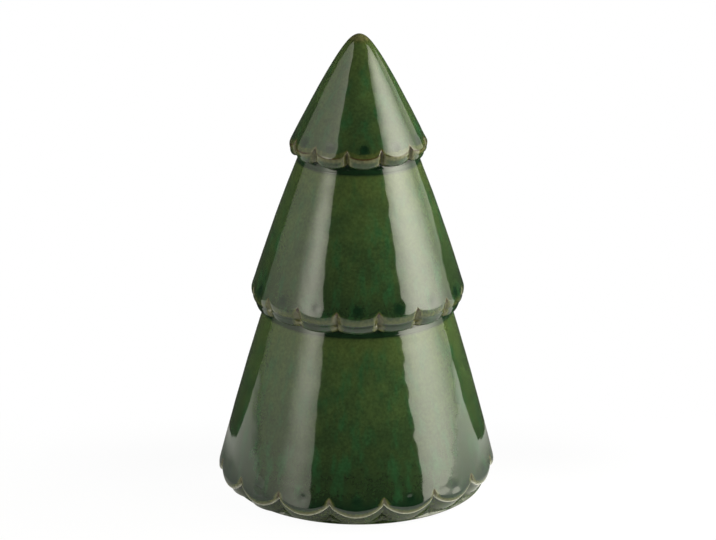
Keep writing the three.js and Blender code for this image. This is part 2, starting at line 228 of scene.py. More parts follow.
def tier_section(tier, below):
    """Rows of the section, from the seat outwards, up, and back through the hollow.

    Each row holds radius, height, lift, sway, inward, on_face, thin, burnt, a value for pooling
    glaze and painted shade, and one for bare clay and a painted highlight: lift is the rise at a
    notch, in metres, sway how far the row follows the edge's tilt, inward how far it lies inside
    the petals' face, thin where glaze breaks, burnt where it goes brown, the pooling value where
    glaze pools and where shade is painted dark teal under the petals' edge and below the tier
    above, and the bare value 1 where there is no glaze, or up to a half along the foot tier's lip,
    where thinned pale glaze and a painted highlight line show. Below is the tier that carries
    this one.
    """
    height, lip, turn = tier["height"], tier["lip_height"], tier["turn"]
    roll_up, roll_in = tier["roll"]
    highest = max(tier["cusp"] + 1.5, tier["dimple"] + DISH_RADIUS + 1)
    lip_rise, arris_rise = tier["lip_rise"] * MM, tier["arris_rise"] * MM
    rows = []

    def row(radius, z, lift=0.0, sway=0.0, inward=0.0, on_face=0.0, thin=0.0, burnt=0.0,
            pool_and_shade=0.0, raw_and_highlight=0.0):
        rows.append((radius, z, lift, sway, inward * MM, on_face, thin, burnt, pool_and_shade, raw_and_highlight))

    if below is None:
        # The foot: its seat, the rounding of its rim, and the plain ring under the petals
        foot = tier["lip"] - RIM_ROUNDING
        for part in steps(4):
            row(tier["bore_below"] + (foot - tier["bore_below"]) * part, 0.0, raw_and_highlight=1.0)
        for part in steps(5):
            angle = part * math.pi / 2
            row(foot + RIM_ROUNDING * math.sin(angle), RIM_ROUNDING * (1 - math.cos(angle)),
                thin=0.3, raw_and_highlight=1.0 if part < 0.15 else 0.0)
        # The ring is painted darker towards its top, as pooling glaze and as shade under the petals
        for part in steps(8):
            row(0.0, RIM_ROUNDING + (lip - RIM_ROUNDING) * part, lift=lip_rise * part, sway=part,
                inward=tier["overhang"], on_face=1.0, thin=0.3, pool_and_shade=0.7 * part**4)
        under = tier["overhang"]
    else:
        # The seat, and a ring that goes on up in the slope of the shoulder which carries it, painted
        # dark teal as pooling glaze and as shade under the petals
        slope = shoulder_slope(below)
        foot = below["neck"] - slope * (SLIP_THICKNESS + RING_STEP)
        for part in steps(4):
            row(tier["bore_below"] + (foot - tier["bore_below"]) * part, 0.0, raw_and_highlight=1.0)
        for part in steps(8):
            row(foot - slope * lip * part, lip * part, lift=lip_rise * part, sway=part,
                pool_and_shade=1.0)
        under = tier["lip"] + tier["overhang"] - foot
    # Out under the petals' edge and round it, dark teal at first as pooling glaze and painted shade
    for part in steps(4):
        row(0.0, lip, lift=lip_rise, sway=1.0, inward=under + (roll_in - under) * part,
            on_face=1.0, thin=0.6 * part, pool_and_shade=1 - part)
    # For the foot tier the lowest rows of this roll are painted pale grey, as thinned glaze and as a
    # painted highlight line along its lip
    for part in steps(9):
        angle = part * math.pi / 2
        z = lip + roll_up * (1 - math.cos(angle))
        row(0.0, z, lift=lip_rise, sway=1.0, inward=roll_in * (1 - math.sin(angle)), on_face=1.0,
            thin=between(tier["thin"], z), raw_and_highlight=0.5 - 0.5 * part if below is None else 0.0)
    # Up the band to the arris, closer together there, and on up the petals' face
    band = turn + ARRIS_REACH - lip - roll_up
    for part in steps(round(band / BAND_STEP)):
        z = lip + roll_up + band * (1 - (1 - part) ** 1.3)
        up = min((z - lip - roll_up) / (turn - lip - roll_up), 1.0)
        row(0.0, z, lift=lip_rise + (arris_rise - lip_rise) * up, sway=1.0, on_face=1.0,
            inward=groove(tier, z), thin=between(tier["thin"], z), burnt=line(tier, z),
            pool_and_shade=between(tier["pooled_and_shaded"], z))
    for part in steps(30):
        z = turn + ARRIS_REACH + (highest - turn - ARRIS_REACH) * part
        row(0.0, z, lift=arris_rise * (1 - part), sway=1 - part, on_face=1.0,
            thin=between(tier["thin"], z), burnt=line(tier, z), pool_and_shade=between(tier["pooled_and_shaded"], z))
    if tier is TOP:
        # Up to the rounded tip, closer together there, with worn glaze on its last 4.5 mm
        for part in steps(72):
            z = highest + (height - highest) * math.sin(part * math.pi / 2)
            row(0.0, z, on_face=1.0, thin=smooth((z - height + 4.5) / 3.5))
        row(0.0, height - TIP_GAP, thin=1.0)
        return list(reversed(rows)) + hollow_rows(tier)
    # Up the plain side, closer together under the shoulder, with its last 2.6 mm painted dark teal as
    # pooling glaze and as shade under the tier above
    top = height - RIM_ROUNDING
    for part in steps(50):
        z = top - (top - highest) * (1 - part) ** 1.4
        row(0.0, z, on_face=1.0, pool_and_shade=1 - smooth((height - z + 0.2) / 2.8))
    edge = side_radius(tier, top)
    for part in steps(5):
        angle = part * math.pi / 2
        row(edge - (edge - tier["neck"] + RIM_ROUNDING) * (1 - math.cos(angle)),
            top + RIM_ROUNDING * math.sin(angle), pool_and_shade=1.0)
    for part in steps(3):
        row(tier["neck"] - RIM_ROUNDING
            + (tier["bore_above"] - tier["neck"] + RIM_ROUNDING) * part, height, raw_and_highlight=part)
    loop = list(reversed(rows)) + hollow_rows(tier)
    return loop + loop[:1]


def shoulder_slope(tier):
    """How much the radius grows per millimetre down, at the tier's shoulder."""
    return side_terms(tier)[0] / (2 * tier["neck"])


def between(pairs, z):
    """The value at height z on the line through (height, value) pairs, level beyond its ends."""
    if z <= pairs[0][0]:
        return pairs[0][1]
    for (low, start), (high, end) in zip(pairs, pairs[1:]):
        if z <= high:
            return start + (end - start) * (z - low) / (high - low)
    return pairs[-1][1]


def groove(tier, z):
    """The shallow groove along the petal's turned-in edge."""
    middle, depth, half = tier["groove"]
    return depth * math.exp(-(((z - middle) / half) ** 2))


def line(tier, z):
    """The brown line along the arris."""
    return tier["line"] * math.exp(-(((z - tier["turn"] + 0.15) / 0.4) ** 2))


def smooth(part):
    part = min(max(part, 0.0), 1.0)
    return part * part * (3 - 2 * part)


def hollow_rows(tier):
    """The inside of a tier, bare clay, from the seat up to the shoulder or to the blunt end."""
    inside = [(tier["bore_below"], WALL)]
    start = tier["hollow"]
    roof = tier["height"] - (TIP_SOLID if tier is TOP else WALL)
    for part in (0.0, 0.25, 0.5, 0.75, 1.0):
        z = start + (roof - start) * part
        inside.append((side_radius(tier, z) - PETAL_THICKNESS - WALL, z))
    if tier is TOP:
        inside.append((0.0, roof + HOLLOW_CAP))
    else:
        inside += [(tier["bore_above"], roof), (tier["bore_above"], tier["height"])]
    return [(radius, z, *[0.0] * 7, 1.0) for radius, z in inside]


def section_object(name, tier, below):
    """The section as a mesh of loose points that carry the row's values, for the petal tree."""
    rows = tier_section(tier, below)
    mesh = bpy.data.meshes.new(name)
    mesh.from_pydata([(r * MM, 0.0, z * MM) for r, z, *_ in rows], [], [])
    for label, first in (("follow", 2), ("wear_and_painted_light", 6)):
        kept = mesh.attributes.new(label, "FLOAT_COLOR", "POINT")
        kept.data.foreach_set("color", [v for r in rows for v in r[first : first + 4]])
    return placed(name, mesh)


# Petalled tier: a section swept round the axis, lifted and pressed into petals
LENGTHS = (
    "Level", "Height", "Turn Height", "Neck Radius", "Skirt Radius", "Lip Radius", "Swell",
    "Arris Rise", "Overhang", "Turn Rounding", "Tilt", "Unevenness",
    "Cusp Height", "Nick Length", "Nick Tip", "Nick Width", "Nick Depth", "Nick Floor",
    "Burn Length", "Burn Width", "Halo Width",
    "Dimple Height", "Dimple Radius", "Dimple Depth", "Dish Radius", "Dish Depth",
    "Wave Depth", "Wave Size",
)
FACTORS = ("Spread", "Petal Turn", "Petal Fullness", "Crowding")
COUNTS = ("Petals", "Columns per Petal", "Seed")


def petal_tree(glaze, clay):
    """Sweeps the section round +Z, follows the petals' edge, and presses nicks and dimples."""
    tree = bpy.data.node_groups.new("petalled_tier", "GeometryNodeTree")
    face = tree.interface
    face.new_socket("Section", in_out="INPUT", socket_type="NodeSocketGeometry")
    face.new_socket("Tier", in_out="OUTPUT", socket_type="NodeSocketGeometry")
    for label in LENGTHS + FACTORS:
        face.new_socket(label, in_out="INPUT", socket_type="NodeSocketFloat")
    for label in COUNTS:
        face.new_socket(label, in_out="INPUT", socket_type="NodeSocketInt")
    given = tree.nodes.new("NodeGroupInput").outputs

    # A grid with one row of points per row of the section, and one column over to close the ring
    size = add(tree, "GeometryNodeAttributeDomainSize", [given["Section"]])
    rows = size.outputs["Point Count"]
    columns = add(tree, MATH, [given["Petals"], given["Columns per Petal"]], operation="MULTIPLY")
    across_count = add(tree, MATH, [columns, 1.0], operation="ADD")
    grid = add(tree, "GeometryNodeMeshGrid", {"Vertices X": across_count, "Vertices Y": rows})
    index = add(tree, "GeometryNodeInputIndex")
    whole = add(tree, MATH, [index, 0.5], operation="ADD")
    share = add(tree, MATH, [whole, rows], operation="DIVIDE")
    column = add(tree, MATH, [share], operation="FLOOR")
    passed = add(tree, MATH, [column, rows], operation="MULTIPLY")
    row = add(tree, MATH, [index, passed], operation="SUBTRACT")

    # The row's values, read from the section
    def taken(attribute, kind):
        return add(tree, "GeometryNodeSampleIndex",
                   {"Geometry": given["Section"], "Value": attribute, "Index": row}, data_type=kind)

    position = add(tree, "GeometryNodeInputPosition")
    place = add(tree, "ShaderNodeSeparateXYZ", [taken(position, "FLOAT_VECTOR")]).outputs
    follow, wear_and_painted_light = [
        add(tree, "FunctionNodeSeparateColor", [taken(
            add(tree, "GeometryNodeInputNamedAttribute", [label], data_type="FLOAT_COLOR"),
            "FLOAT_COLOR")]).outputs
        for label in ("follow", "wear_and_painted_light")
    ]
    lift, sway, inward, on_face = follow
    thin, burnt, pool_and_shade, raw_and_highlight = wear_and_painted_light

    # Where the point lies round the axis, and across its petal from -0.5 to 0.5, with the columns
    # crowded towards the notches
    petal = add(tree, MATH, [column, given["Columns per Petal"]], operation="DIVIDE")
    nearest = add(tree, MATH, [petal], operation="ROUND")
    even = add(tree, MATH, [petal, nearest], operation="SUBTRACT")
    swing = add(tree, MATH, [add(tree, MATH, [even, 2 * math.pi], operation="MULTIPLY")],
                operation="SINE")
    crowded = add(tree, MATH, [swing, given["Crowding"]], operation="MULTIPLY")
    across = add(tree, MATH, [crowded, 1 / (2 * math.pi), even], operation="MULTIPLY_ADD")
    number = add(tree, MATH, [nearest, given["Petals"]], operation="MODULO")
    along = add(tree, MATH, [nearest, across], operation="ADD")
    round_part = add(tree, MATH, [along, given["Petals"]], operation="DIVIDE")
    turned = add(tree, MATH, [round_part, 2 * math.pi, given["Petal Turn"]], operation="MULTIPLY_ADD")
    angle = add(tree, MATH, [turned, math.pi / 2], operation="SUBTRACT")
    cosine = add(tree, MATH, [angle], operation="COSINE")
    sine = add(tree, MATH, [angle], operation="SINE")

    # How far the edge rises here: fully at a notch, and with the tilt and drift of hand work
    squared = add(tree, MATH, [across, across], operation="MULTIPLY")
    parabola = add(tree, MATH, [squared, -4.0, 1.0], operation="MULTIPLY_ADD")
    clipped = add(tree, MATH, [parabola, 0.0], operation="MAXIMUM")
    full = add(tree, MATH, [clipped, given["Petal Fullness"]], operation="POWER")
    empty = add(tree, MATH, [1.0, full], operation="SUBTRACT")
    uneven = add(tree, "FunctionNodeRandomValue",
                 {"ID": number, "Seed": given["Seed"]}, data_type="FLOAT")
    uneven.inputs[2].default_value, uneven.inputs[3].default_value = -1.0, 1.0
    drift = add(tree, MATH, [uneven.outputs[1], given["Unevenness"]], operation="MULTIPLY")
    drifted = add(tree, MATH, [drift, full], operation="MULTIPLY")
    leaning = add(tree, MATH, [cosine, given["Tilt"], drifted], operation="MULTIPLY_ADD")
    notched = add(tree, MATH, [empty, lift, place[2]], operation="MULTIPLY_ADD")
    height = add(tree, MATH, [leaning, sway, notched], operation="MULTIPLY_ADD")

    # The face of the petals and the side at that height, rounded at the arris where it turns in
    turn_leaned = add(tree, MATH, [given["Turn Height"], leaning], operation="ADD")
    arris = add(tree, MATH, [empty, given["Arris Rise"], turn_leaned], operation="MULTIPLY_ADD")
    stood = add(tree, MATH, [height, arris, given["Turn Rounding"]], operation="SMOOTH_MAX")
    drop = add(tree, MATH, [given["Height"], stood], operation="SUBTRACT")
    neck = add(tree, MATH, [given["Neck Radius"], given["Neck Radius"]], operation="MULTIPLY")
    swollen = add(tree, MATH, [drop, given["Swell"], neck], operation="MULTIPLY_ADD")
    drop_squared = add(tree, MATH, [drop, drop], operation="MULTIPLY")
    spread = add(tree, MATH, [drop_squared, given["Spread"], swollen], operation="MULTIPLY_ADD")
    bounded = add(tree, MATH, [spread, 0.0], operation="MAXIMUM")
    side = add(tree, MATH, [bounded], operation="SQRT")
    below_arris = add(tree, MATH, [arris, height], operation="SUBTRACT")
    under = add(tree, MATH, [below_arris, 0.0], operation="MAXIMUM")
    under_all = add(tree, MATH, [under, given["Turn Height"]], operation="DIVIDE")
    under_part = add(tree, MATH, [under_all, 1.0], operation="MINIMUM")
    curl = add(tree, MATH, [under_part, under_part], operation="MULTIPLY")
    lip_face = add(tree, MATH, [given["Lip Radius"], given["Overhang"]], operation="ADD")
    curl_reach = add(tree, MATH, [given["Skirt Radius"], lip_face], operation="SUBTRACT")
    curled = add(tree, MATH, [curl, curl_reach], operation="MULTIPLY")
    face_radius = add(tree, MATH, [side, curled], operation="SUBTRACT")

    # The pressed dimple in the middle of each petal, in a broad shallow dish
    arc = add(tree, MATH, [face_radius, 2 * math.pi], operation="MULTIPLY")
    petal_width = add(tree, MATH, [arc, given["Petals"]], operation="DIVIDE")
    sideways = add(tree, MATH, [across, petal_width], operation="MULTIPLY")
    above_dimple = add(tree, MATH, [height, given["Dimple Height"]], operation="SUBTRACT")
    offset = add(tree, JOIN, [sideways, above_dimple, 0.0])
    away = add(tree, VECTOR, [offset], operation="LENGTH").outputs["Value"]
    dimple = add(tree, RAMP, {0: away, 1: given["Dimple Radius"], 2: 0.0}, **SMOOTH)
    dish = add(tree, RAMP, {0: away, 1: given["Dish Radius"], 2: 0.0}, **SMOOTH)
    dished = add(tree, MATH, [dish, given["Dish Depth"]], operation="MULTIPLY")
    dimple_press = add(tree, MATH, [dimple, given["Dimple Depth"], dished], operation="MULTIPLY_ADD")

    # The nick between two petals: a slit at its cusp that widens downwards to its floor
    from_middle = add(tree, MATH, [across], operation="ABSOLUTE")
    from_notch = add(tree, MATH, [0.5, from_middle], operation="SUBTRACT")
    notch_away = add(tree, MATH, [from_notch, petal_width], operation="MULTIPLY")
    cusp = add(tree, MATH, [cosine, given["Tilt"], given["Cusp Height"]], operation="MULTIPLY_ADD")
    below_cusp = add(tree, MATH, [cusp, height], operation="SUBTRACT")
    down = add(tree, RAMP, {0: below_cusp, 1: 0.0, 2: given["Nick Length"]}, **SMOOTH)
    half_width = add(tree, RAMP, {0: down, 3: given["Nick Tip"], 4: given["Nick Width"]})
    nick_flat = add(tree, MATH, [half_width, NICK_FLAT], operation="MULTIPLY")
    nick_across = add(tree, RAMP, {0: notch_away, 1: half_width, 2: nick_flat}, **SMOOTH)
    over_floor = add(tree, MATH, [height, given["Nick Floor"]], operation="SUBTRACT")
    closed, opened = [edge * MM for edge in NICK_FOOT]
    nick_open = add(tree, RAMP, {0: over_floor, 1: closed, 2: opened}, **SMOOTH)
    nick_down = add(tree, MATH, [down, nick_open], operation="MULTIPLY")
    nick = add(tree, MATH, [nick_across, nick_down], operation="MULTIPLY")
    nick_press = add(tree, MATH, [nick, given["Nick Depth"], dimple_press], operation="MULTIPLY_ADD")
    out_part = add(tree, RAMP, {0: inward, 1: given["Overhang"], 2: 0.0})
    pressed = add(tree, MATH, [nick_press, out_part], operation="MULTIPLY")

    # The slight unevenness of a hand-finished cast, which makes the reflections wander
    point = add(tree, JOIN, [cosine, sine, 0.0])
    around = add(tree, VECTOR, {0: point, "Scale": face_radius}, operation="SCALE")
    lifted = add(tree, JOIN, [0.0, 0.0, height])
    where = add(tree, VECTOR, [around, lifted], operation="ADD")
    per_metre = add(tree, MATH, [1.0, given["Wave Size"]], operation="DIVIDE")
    seeded = add(tree, VECTOR, {0: where, "Scale": per_metre}, operation="SCALE")
    waves = add(tree, NOISE,
                {"W": given["Seed"], "Vector": seeded, "Scale": 1.0, "Detail": 2.0},
                noise_dimensions="4D")
    below_top = add(tree, MATH, [given["Height"], height], operation="SUBTRACT")
    calm, lively = [depth * MM for depth in WAVE_FREE]
    free = add(tree, RAMP, {0: below_top, 1: calm, 2: lively}, **SMOOTH)
    free_wave = add(tree, MATH, [waves, free], operation="MULTIPLY")
    wave = add(tree, MATH, [free_wave, given["Wave Depth"]], operation="MULTIPLY")

    inner = add(tree, MATH, [face_radius, inward], operation="SUBTRACT")
    after_press = add(tree, MATH, [inner, pressed], operation="SUBTRACT")
    waved = add(tree, MATH, [after_press, wave], operation="SUBTRACT")
    outside = add(tree, MATH, [waved, given["Skirt Radius"]], operation="MINIMUM")
    radius = add(tree, MIX, {2: place[0], 3: outside, 0: on_face}, data_type="FLOAT")
    ring_point = add(tree, VECTOR, {0: point, "Scale": radius.outputs[0]}, operation="SCALE")
    world_height = add(tree, MATH, [height, given["Level"]], operation="ADD")
    up = add(tree, JOIN, [0.0, 0.0, world_height])
    final = add(tree, VECTOR, [ring_point, up], operation="ADD")
    moved = add(tree, "GeometryNodeSetPosition", {"Geometry": grid, "Position": final})

    # What the glaze does here. Round a cusp it runs thin, and in the slit it burns brown.
    fade = CUSP_FADE * MM
    by_cusp = add(tree, RAMP, {0: below_cusp, 1: -fade, 2: fade}, **SMOOTH)
    spread_down = add(tree, MATH, [below_cusp, HALO_SPREAD, HALO_TOP * MM], operation="MULTIPLY_ADD")
    halo_least = add(tree, MATH, [spread_down, HALO_LEAST * MM], operation="MAXIMUM")
    halo_wide = add(tree, MATH, [halo_least, given["Halo Width"]], operation="MINIMUM")
    by_notch = add(tree, RAMP, {0: notch_away, 1: halo_wide, 2: 0.0}, **SMOOTH)
    halo_there = add(tree, MATH, [by_cusp, by_notch], operation="MULTIPLY")
    on_petal = add(tree, MATH, [out_part, on_face], operation="MULTIPLY")
    halo = add(tree, MATH, [halo_there, on_petal], operation="MULTIPLY")
    halo_thin = add(tree, MATH, [halo, HALO_THIN], operation="MULTIPLY")
    thin_here = add(tree, MATH, [thin, halo_thin], operation="MAXIMUM")
    past_burn = add(tree, MATH, [below_cusp, given["Burn Length"]], operation="SUBTRACT")
    burning = add(tree, RAMP, {0: past_burn, 1: fade, 2: -fade}, **SMOOTH)
    in_slit = add(tree, RAMP, {0: notch_away, 1: given["Burn Width"], 2: 0.0}, **SMOOTH)
    burning_petal = add(tree, MATH, [burning, on_petal], operation="MULTIPLY")
    slit_up = add(tree, MATH, [burning_petal, by_cusp], operation="MULTIPLY")
    slit = add(tree, MATH, [slit_up, in_slit], operation="MULTIPLY")
    burnt_here = add(tree, MATH, [burnt, slit], operation="MAXIMUM")
    off_halo = add(tree, MATH, [1.0, halo], operation="SUBTRACT")
    pool_and_shade_off = add(tree, MATH, [pool_and_shade, off_halo], operation="MULTIPLY")
    pool_and_shade_here = add(tree, MATH, [dimple, pool_and_shade_off], operation="MAXIMUM")
    glaze_values = add(tree, JOIN, [thin_here, pool_and_shade_here, burnt_here])
    kept = moved
    for label, value, kind in (
        ("glaze_wear_and_shade", glaze_values, "FLOAT_VECTOR"),
        ("below_shoulder", below_top, "FLOAT"),
        ("dish", dish, "FLOAT"),
        ("bare_clay_and_highlight", raw_and_highlight, "FLOAT"),
    ):
        kept = add(tree, "GeometryNodeStoreNamedAttribute",
                   {"Geometry": kept, "Name": label, "Value": value}, data_type=kind, domain="POINT")

    # The ring closes on itself and at the tip, and its faces turn outwards
    sealed = add(tree, "GeometryNodeMergeByDistance", {"Geometry": kept, "Distance": 0.001 * MM})
    outward = add(tree, "GeometryNodeFlipFaces", [sealed])
    smoothed = add(tree, "GeometryNodeSetShadeSmooth", {"Geometry": outward})
    single = add(tree, "GeometryNodeRealizeInstances", {"Geometry": smoothed})
    glazed = add(tree, "GeometryNodeSetMaterial", {"Geometry": single, "Material": glaze})
    clay_there = add(tree, "GeometryNodeInputNamedAttribute", ["bare_clay_and_highlight"], data_type="FLOAT")
    is_bare = add(tree, "FunctionNodeCompare", {0: clay_there, 1: 0.6},
                  data_type="FLOAT", operation="GREATER_THAN")
    clayed = add(tree, "GeometryNodeSetMaterial",
                 {"Geometry": glazed, "Selection": is_bare, "Material": clay})
    add(tree, "NodeGroupOutput", [clayed])
    return tree


def make_tier(name, tier, below, tree, columns):
    """Grows a tier from its section with the petal tree, and keeps it as a plain mesh."""
    swell, spread = side_terms(tier)
    sizes = {
        "Level": tier["level"], "Height": tier["height"], "Turn Height": tier["turn"],
        "Neck Radius": tier["neck"], "Skirt Radius": tier["skirt"], "Lip Radius": tier["lip"],
        "Swell": swell, "Arris Rise": tier["arris_rise"], "Overhang": tier["overhang"],
        "Turn Rounding": tier["turn_rounding"], "Tilt": tier["tilt"], "Unevenness": DRIFT,
        "Cusp Height": tier["cusp"], "Nick Length": tier["nick_long"], "Nick Tip": NICK_TIP,
        "Nick Width": tier["nick_wide"], "Nick Depth": tier["nick_depth"],
        "Nick Floor": tier["nick_floor"], "Burn Length": tier["burn"], "Burn Width": BURN_WIDTH,
        "Halo Width": HALO_WIDTH, "Dimple Height": tier["dimple"], "Dimple Radius": DIMPLE_RADIUS,
        "Dimple Depth": DIMPLE_DEPTH, "Dish Radius": DISH_RADIUS, "Dish Depth": DISH_DEPTH,
        "Wave Depth": WAVE_DEPTH, "Wave Size": WAVE_SIZE,
    }
    values = {label: size * MM for label, size in sizes.items()}
    values |= {
        "Spread": spread, "Petal Turn": math.radians(tier["petal_turn"]),
        "Petal Fullness": tier["fullness"], "Crowding": CROWDING, "Petals": tier["petals"],
        "Columns per Petal": columns, "Seed": tier["seed"],
    }
    grown = section_object(name + "_section", tier, below)
    modifier = grown.modifiers.new("petals", "NODES")
    modifier.node_group = tree
    for item in tree.interface.items_tree:
        if item.in_out == "INPUT" and item.name in values:
            modifier[item.identifier] = values[item.name]
    depsgraph = bpy.context.evaluated_depsgraph_get()
    mesh = bpy.data.meshes.new_from_object(grown.evaluated_get(depsgraph))
    mesh.name = name
    bpy.data.objects.remove(grown)
    return placed(name, mesh)


# Other pieces
def turned_ring(name, profile, segments=288):
    """A closed ring turned about +Z from [radius, height] pairs, listed anticlockwise."""
    count = len(profile)
    points, faces = [], []
    for s in range(segments):
        angle = 2 * math.pi * s / segments
        points += [(r * MM * math.cos(angle), r * MM * math.sin(angle), z * MM) for r, z in profile]
        after = (s + 1) % segments
        for i in range(count):
            j = (i + 1) % count
            faces.append((s * count + i, after * count + i, after * count + j, s * count + j))
    mesh = bpy.data.meshes.new(name)
    mesh.from_pydata(points, [], faces)
    mesh.shade_smooth()
    return placed(name, mesh)


def slip_joint(name, below, material):
    """Slip squeezed out between two seats, and the glaze that has filled the groove over it.

    Its outside follows the slope of the shoulder below.
    """
    slope = shoulder_slope(below)
    top = below["level"] + below["height"]
    start, end = -SLIP_SPREAD, SLIP_THICKNESS + SLIP_SPREAD
    profile = [(below["bore_above"] + SLIP_INSET, top)]
    profile.append((below["neck"] - RIM_ROUNDING, top))
    ends = [SLIP_ROUNDING * count for count in range(3)]
    for up in (*[start + e for e in ends], 0.0, SLIP_THICKNESS, *[end - e for e in reversed(ends)]):
        profile.append((below["neck"] - slope * up, top + up))
    profile.append((below["neck"] - slope * end - 0.5, top + end))
    profile.append((below["neck"] - slope * SLIP_THICKNESS - 0.6, top + SLIP_THICKNESS))
    profile.append((below["bore_above"] + SLIP_INSET, top + SLIP_THICKNESS))
    piece = turned_ring(name, profile)
    piece.data.materials.append(material)
    return piece


def felt_pad(name, turn, material):
    """A punched disc of pressed felt, its edge a little rounded and fuzzy."""
    radius, thick = PAD_DIAMETER / 2, PAD_THICKNESS
    centre = (PAD_CIRCLE * math.cos(turn), PAD_CIRCLE * math.sin(turn))
    section = [(0.0, 0.0), (0.55, 0.0), (0.93, 0.0), (0.985, 0.1), (1.0, 0.3), (1.0, 0.7),
               (0.985, 0.9), (0.93, 1.0), (0.55, 1.0), (0.0, 1.0)]
    segments = 72
    points = [(0.0, 0.0, 0.0)]
    for part, up in section[1:-1]:
        for s in range(segments):
            angle = 2 * math.pi * s / segments
            frayed = 1 - 0.012 * (1 + math.sin(7 * angle + turn)) * (1 + math.cos(19 * angle)) / 2
            points.append((radius * part * frayed * math.cos(angle),
                           radius * part * frayed * math.sin(angle), thick * up))
    points.append((0.0, 0.0, thick))
    faces = []
    for s in range(segments):
        after = (s + 1) % segments
        faces.append((0, 1 + after, 1 + s))
        for r in range(len(section) - 3):
            a, b = 1 + r * segments, 1 + (r + 1) * segments
            faces.append((a + s, a + after, b + after, b + s))
        last = 1 + (len(section) - 3) * segments
        faces.append((len(points) - 1, last + s, last + after))
    mesh = bpy.data.meshes.new(name)
    mesh.from_pydata([((x + centre[0]) * MM, (y + centre[1]) * MM, z * MM) for x, y, z in points],
                     [], faces)
    mesh.shade_smooth()
    mesh.materials.append(material)
    return placed(name, mesh)


# Materials
def new_material(name):
    material = bpy.data.materials.new(name)
    material.use_nodes = True
    tree = material.node_tree
    tree.nodes.clear()
    return material, tree


